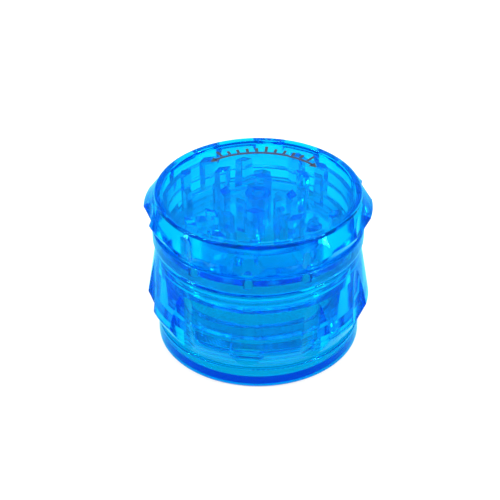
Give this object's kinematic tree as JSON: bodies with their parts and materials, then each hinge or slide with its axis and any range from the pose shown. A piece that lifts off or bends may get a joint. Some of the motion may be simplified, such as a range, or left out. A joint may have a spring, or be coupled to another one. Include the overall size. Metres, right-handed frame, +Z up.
{
  "type": "hand grinder",
  "caption": "Four-part hand grinder for herbs in clear blue plastic: toothed lid, grinding chamber, screen chamber with a woven screen, and base tray.",
  "frame": {"origin": "centre of the base tray's underside, on the axis the lid turns about", "axes": "+Z up along the turning axis, -Y towards the front scoop"},
  "size_m": [0.0628, 0.062, 0.0464],
  "materials": {
    "clear_blue_plastic": "glossy, transparent, tinted through",
    "screen_wire": "woven wire"
  },
  "bodies": {
    "base_tray": {"base_tray": "clear_blue_plastic"},
    "screen_chamber": {"screen_chamber": "clear_blue_plastic", "screen": "screen_wire", "screen_ring": "clear_blue_plastic"},
    "grinding_chamber": {"grinding_chamber": "clear_blue_plastic"},
    "lid": {"lid": "clear_blue_plastic"}
  },
  "joints": [
    {"name": "screen_chamber_lift", "type": "slide", "parent": "base_tray", "child": "screen_chamber", "axis": [0, 0, 1], "range_m": [0, 0.03]},
    {"name": "grinding_chamber_lift", "type": "slide", "parent": "screen_chamber", "child": "grinding_chamber", "axis": [0, 0, 1], "range_m": [0, 0.03]},
    {"name": "lid_turn", "type": "hinge", "parent": "grinding_chamber", "child": "lid", "pos_m": [0, 0, 0.04], "axis": [0, 0, 1], "continuous": true}
  ]
}
